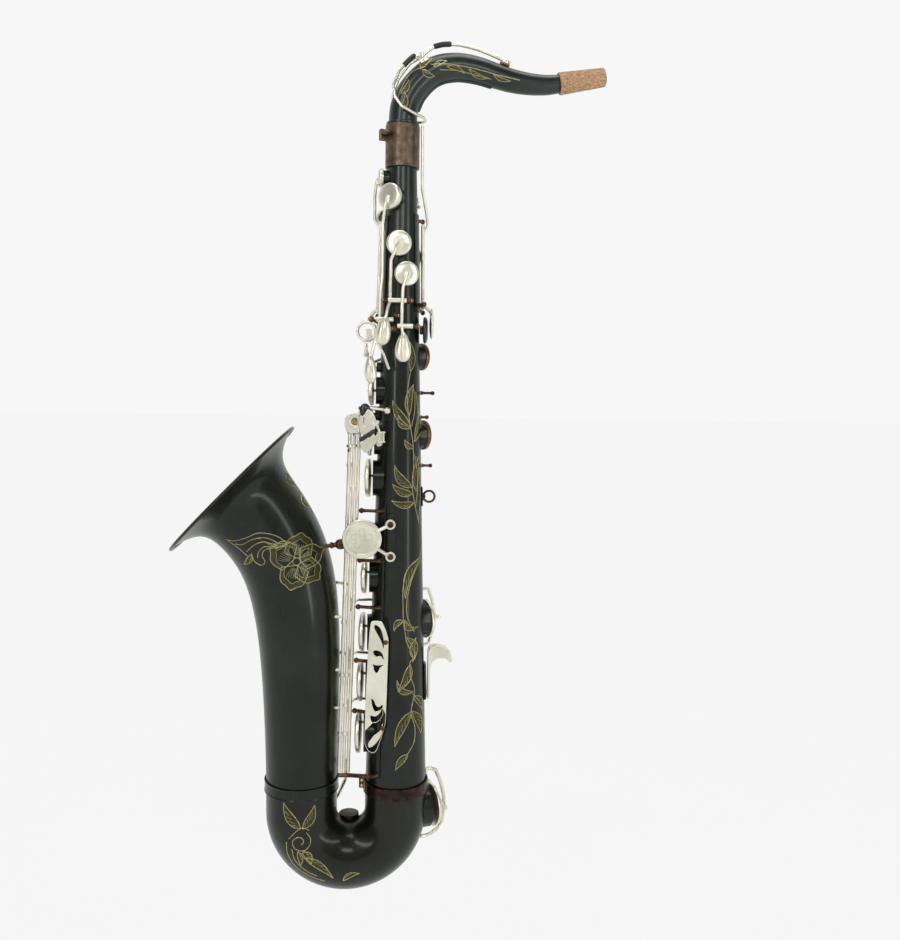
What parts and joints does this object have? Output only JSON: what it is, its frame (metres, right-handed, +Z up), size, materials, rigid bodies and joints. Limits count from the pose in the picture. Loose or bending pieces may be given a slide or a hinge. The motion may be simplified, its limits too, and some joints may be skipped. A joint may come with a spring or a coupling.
{
  "type": "tenor saxophone",
  "caption": "Tenor saxophone with a black body, bright keys, a swivelling neck, sprung key cups on hinge rods, pinky table, octave mechanism and wire guards.",
  "frame": {"origin": "centre of the strap ring on the back of the body tube", "axes": "+Z up along the straight body tube towards the neck, +X towards the player and the mouthpiece end, -X towards the bell, -Y towards the palm-key side"},
  "size_m": [0.3938, 0.1582, 0.7886],
  "materials": {
    "body_black": "antiqued satin black over brass",
    "key_silver": "satin silver plate",
    "post_bronze": "dark bronze",
    "cork": "bare cork",
    "thumb_black": "smooth black"
  },
  "bodies": {
    "body": {"body_tube": "body_black", "bottom_bow": "body_black", "bell": "body_black", "body_bow_ring": "post_bronze", "bow_bell_ring": "body_black", "neck_receiver": "post_bronze", "strap_ring": "post_bronze", "thumb_rest": "thumb_black", "thumb_hook_base": "post_bronze", "octave_posts": "post_bronze", "palm_key_posts": "post_bronze", "front_f_posts": "post_bronze", "upper_stack_posts": "post_bronze", "lower_stack_posts": "post_bronze", "side_key_posts_low": "post_bronze", "side_key_posts_high": "post_bronze", "player_side_posts": "post_bronze", "table_bracket": "post_bronze", "low_rod_posts": "post_bronze", "bell_brace": "key_silver", "brace_bell_foot": "post_bronze", "brace_body_foot": "post_bronze", "clothes_guard": "key_silver", "eb_guard": "key_silver", "low_c_guard": "key_silver", "bell_key_guard": "key_silver"},
    "neck": {"neck_tube": "body_black", "neck_cork": "cork", "neck_collar": "body_black", "octave_key_saddle": "key_silver"},
    "neck_screw_body": {"neck_screw": "post_bronze"},
    "neck_octave_key_body": {"neck_octave_key": "key_silver"},
    "thumb_hook_body": {"thumb_hook": "key_silver"},
    "octave_rod_body": {"octave_rod": "key_silver"},
    "octave_lever_body": {"octave_lever": "key_silver"},
    "octave_vent_key_body": {"octave_vent_key": "key_silver"},
    "palm_f_key_body": {"palm_f_key": "key_silver"},
    "palm_eb_key_body": {"palm_eb_key": "key_silver"},
    "palm_d_key_body": {"palm_d_key": "key_silver"},
    "front_f_key_body": {"front_f_key": "key_silver"},
    "c_vent_key_body": {"c_vent_key": "key_silver"},
    "b_key_body": {"b_key": "key_silver"},
    "bis_key_body": {"bis_key": "key_silver"},
    "a_key_body": {"a_key": "key_silver"},
    "g_key_body": {"g_key": "key_silver"},
    "f_sharp_key_body": {"f_sharp_key": "key_silver"},
    "f_key_body": {"f_key": "key_silver"},
    "e_key_body": {"e_key": "key_silver"},
    "d_key_body": {"d_key": "key_silver"},
    "g_sharp_key_body": {"g_sharp_key": "key_silver"},
    "side_bb_key_body": {"side_bb_key": "key_silver"},
    "side_c_key_body": {"side_c_key": "key_silver"},
    "side_e_key_body": {"side_e_key": "key_silver"},
    "high_fs_key_body": {"high_fs_key": "key_silver"},
    "eb_key_body": {"eb_key": "key_silver"},
    "low_c_key_body": {"low_c_key": "key_silver"},
    "low_bb_key_body": {"low_bb_key": "key_silver"},
    "low_b_key_body": {"low_b_key": "key_silver"},
    "low_cs_key_body": {"low_cs_key": "key_silver"},
    "g_sharp_touch_body": {"g_sharp_touch": "key_silver"}
  },
  "joints": [
    {"name": "neck_swivel", "type": "hinge", "parent": "body", "child": "neck", "pos_m": [-0.02839, 0, 0.3365], "axis": [0, 0, 1], "range_deg": [-15, 15]},
    {"name": "neck_screw_turn", "type": "hinge", "parent": "body", "child": "neck_screw_body", "pos_m": [-0.0458, -0.0037, 0.3275], "axis": [-0.2079, 0.9781, 0], "continuous": true},
    {"name": "thumb_hook_slide", "type": "slide", "parent": "body", "child": "thumb_hook_body", "axis": [0, 0, 1], "range_m": [-0.004, 0.004]},
    {"name": "c_vent_hinge", "type": "hinge", "parent": "body", "child": "c_vent_key_body", "pos_m": [-0.04175, 0.02313, 0.1282], "axis": [-0.0136, 0.0235, -0.9996], "range_deg": [-4.8, 0]},
    {"name": "b_hinge", "type": "hinge", "parent": "body", "child": "b_key_body", "pos_m": [-0.04233, 0.02414, 0.0852], "axis": [-0.0136, 0.0235, -0.9996], "range_deg": [-4.8, 0], "stiffness_Nm_per_rad": 0.06, "springref_deg": 25},
    {"name": "bis_hinge", "type": "hinge", "parent": "body", "child": "bis_key_body", "pos_m": [-0.04255, 0.02452, 0.0692], "axis": [-0.0136, 0.0235, -0.9996], "range_deg": [-4.8, 0]},
    {"name": "a_hinge", "type": "hinge", "parent": "body", "child": "a_key_body", "pos_m": [-0.043, 0.02531, 0.0354], "axis": [-0.0136, 0.0235, -0.9996], "range_deg": [-4.8, 0], "stiffness_Nm_per_rad": 0.06, "springref_deg": 25},
    {"name": "g_hinge", "type": "hinge", "parent": "body", "child": "g_key_body", "pos_m": [-0.0435, 0.02617, -0.001], "axis": [-0.0136, 0.0235, -0.9996], "range_deg": [-4.8, 0], "stiffness_Nm_per_rad": 0.06, "springref_deg": 25},
    {"name": "f_sharp_hinge", "type": "hinge", "parent": "body", "child": "f_sharp_key_body", "pos_m": [-0.04484, 0.0285, -0.1004], "axis": [-0.0136, 0.0235, -0.9996], "range_deg": [-4.8, 0]},
    {"name": "f_hinge", "type": "hinge", "parent": "body", "child": "f_key_body", "pos_m": [-0.0455, 0.02964, -0.1488], "axis": [-0.0136, 0.0235, -0.9996], "range_deg": [-4.8, 0], "stiffness_Nm_per_rad": 0.06, "springref_deg": 25},
    {"name": "e_hinge", "type": "hinge", "parent": "body", "child": "e_key_body", "pos_m": [-0.0462, 0.03085, -0.2004], "axis": [-0.0136, 0.0235, -0.9996], "range_deg": [-4.8, 0], "stiffness_Nm_per_rad": 0.06, "springref_deg": 25},
    {"name": "d_hinge", "type": "hinge", "parent": "body", "child": "d_key_body", "pos_m": [-0.0468, 0.03189, -0.2448], "axis": [-0.0136, 0.0235, -0.9996], "range_deg": [-4.8, 0], "stiffness_Nm_per_rad": 0.06, "springref_deg": 25},
    {"name": "low_c_hinge", "type": "hinge", "parent": "body", "child": "low_c_key_body", "pos_m": [-0.02447, 0.03729, -0.262], "axis": [-0.0028, -0.027, 0.9996], "range_deg": [-5.8, 0], "stiffness_Nm_per_rad": 0.06, "springref_deg": 25},
    {"name": "low_b_hinge", "type": "hinge", "parent": "body", "child": "low_b_key_body", "pos_m": [-0.07772, -0.014, -0.2592], "axis": [-0.026, 0, -0.9997], "range_deg": [-4.8, 0], "stiffness_Nm_per_rad": 0.06, "springref_deg": 25},
    {"name": "low_bb_hinge", "type": "hinge", "parent": "body", "child": "low_bb_key_body", "pos_m": [-0.08192, -0.014, -0.2592], "axis": [-0.026, 0, -0.9997], "range_deg": [-4.8, 0], "stiffness_Nm_per_rad": 0.06, "springref_deg": 25},
    {"name": "palm_f_hinge", "type": "hinge", "parent": "body", "child": "palm_f_key_body", "pos_m": [-0.05099, -0.02402, 0.1613], "axis": [1, 0, 0], "range_deg": [0, 6], "stiffness_Nm_per_rad": 0.06, "springref_deg": -25},
    {"name": "palm_eb_hinge", "type": "hinge", "parent": "body", "child": "palm_eb_key_body", "pos_m": [-0.04059, -0.02355, 0.1784], "axis": [1, 0, 0], "range_deg": [0, 6], "stiffness_Nm_per_rad": 0.06, "springref_deg": -25},
    {"name": "palm_d_hinge", "type": "hinge", "parent": "body", "child": "palm_d_key_body", "pos_m": [-0.03219, -0.02416, 0.1558], "axis": [1, 0, 0], "range_deg": [0, 6], "stiffness_Nm_per_rad": 0.06, "springref_deg": -25},
    {"name": "front_f_hinge", "type": "hinge", "parent": "body", "child": "front_f_key_body", "pos_m": [-0.04949, -0.00942, 0.1685], "axis": [0.0268, 0.0045, 0.9996], "range_deg": [0, 12], "stiffness_Nm_per_rad": 0.06, "springref_deg": -25},
    {"name": "g_sharp_hinge", "type": "hinge", "parent": "body", "child": "g_sharp_key_body", "pos_m": [-0.04423, 0.02743, -0.0548], "axis": [-0.0136, 0.0235, -0.9996], "range_deg": [0, 8]},
    {"name": "side_bb_hinge", "type": "hinge", "parent": "body", "child": "side_bb_key_body", "pos_m": [-0.01388, 0.02729, -0.078], "axis": [-0.0127, -0.0239, 0.9996], "range_deg": [0, 8], "stiffness_Nm_per_rad": 0.06, "springref_deg": -25},
    {"name": "side_c_hinge", "type": "hinge", "parent": "body", "child": "side_c_key_body", "pos_m": [-0.02091, 0.02999, -0.078], "axis": [-0.0066, -0.0263, 0.9996], "range_deg": [0, 8], "stiffness_Nm_per_rad": 0.06, "springref_deg": -25},
    {"name": "side_e_hinge", "type": "hinge", "parent": "body", "child": "side_e_key_body", "pos_m": [-0.02839, 0.0309, -0.078], "axis": [0, -0.0271, 0.9996], "range_deg": [0, 8], "stiffness_Nm_per_rad": 0.06, "springref_deg": -25},
    {"name": "high_fs_hinge", "type": "hinge", "parent": "body", "child": "high_fs_key_body", "pos_m": [-0.03587, 0.02999, -0.078], "axis": [-0.0066, 0.0263, -0.9996], "range_deg": [0, 8], "stiffness_Nm_per_rad": 0.06, "springref_deg": -25},
    {"name": "eb_hinge", "type": "hinge", "parent": "body", "child": "eb_key_body", "pos_m": [-0.02472, 0.03491, -0.174], "axis": [-0.0028, -0.027, 0.9996], "range_deg": [0, 5], "stiffness_Nm_per_rad": 0.06, "springref_deg": -25},
    {"name": "low_cs_hinge", "type": "hinge", "parent": "body", "child": "low_cs_key_body", "pos_m": [-0.07352, -0.014, -0.2592], "axis": [-0.026, 0, -0.9997], "range_deg": [0, 4], "stiffness_Nm_per_rad": 0.06, "springref_deg": -25},
    {"name": "octave_lever_hinge", "type": "hinge", "parent": "body", "child": "octave_lever_body", "pos_m": [-0.00773, -0.0092, 0.176], "axis": [0, -1, 0], "range_deg": [0, 5], "stiffness_Nm_per_rad": 0.05, "springref_deg": -25},
    {"name": "octave_rod_hinge", "type": "hinge", "parent": "body", "child": "octave_rod_body", "pos_m": [-0.00768, 0.0085, 0.1738], "axis": [0, 0, -1], "range_deg": [0, 5]},
    {"name": "octave_vent_hinge", "type": "hinge", "parent": "body", "child": "octave_vent_key_body", "pos_m": [-0.01441, 0.01447, 0.268], "axis": [-0.766, 0.6428, 0], "range_deg": [0, 5]},
    {"name": "neck_octave_hinge", "type": "hinge", "parent": "neck", "child": "neck_octave_key_body", "pos_m": [-0.01239, 0, 0.3985], "axis": [0, 1, 0], "range_deg": [-3.33, 0]},
    {"name": "g_sharp_touch_hinge", "type": "hinge", "parent": "body", "child": "g_sharp_touch_body", "pos_m": [-0.06219, -0.02096, 0.066], "axis": [0, 0, -1], "range_deg": [0, 6], "stiffness_Nm_per_rad": 0.03, "springref_deg": -25}
  ],
  "couplings": [
    {"joint": "c_vent_hinge", "follows": "b_hinge", "ratio": 1},
    {"joint": "bis_hinge", "follows": "a_hinge", "ratio": 1},
    {"joint": "f_sharp_hinge", "follows": "f_hinge", "ratio": 1},
    {"joint": "g_sharp_hinge", "follows": "g_sharp_touch_hinge", "ratio": 1.3333},
    {"joint": "octave_rod_hinge", "follows": "octave_lever_hinge", "ratio": 1},
    {"joint": "octave_vent_hinge", "follows": "octave_lever_hinge", "ratio": 1},
    {"joint": "neck_octave_hinge", "follows": "octave_lever_hinge", "ratio": -0.6666}
  ]
}
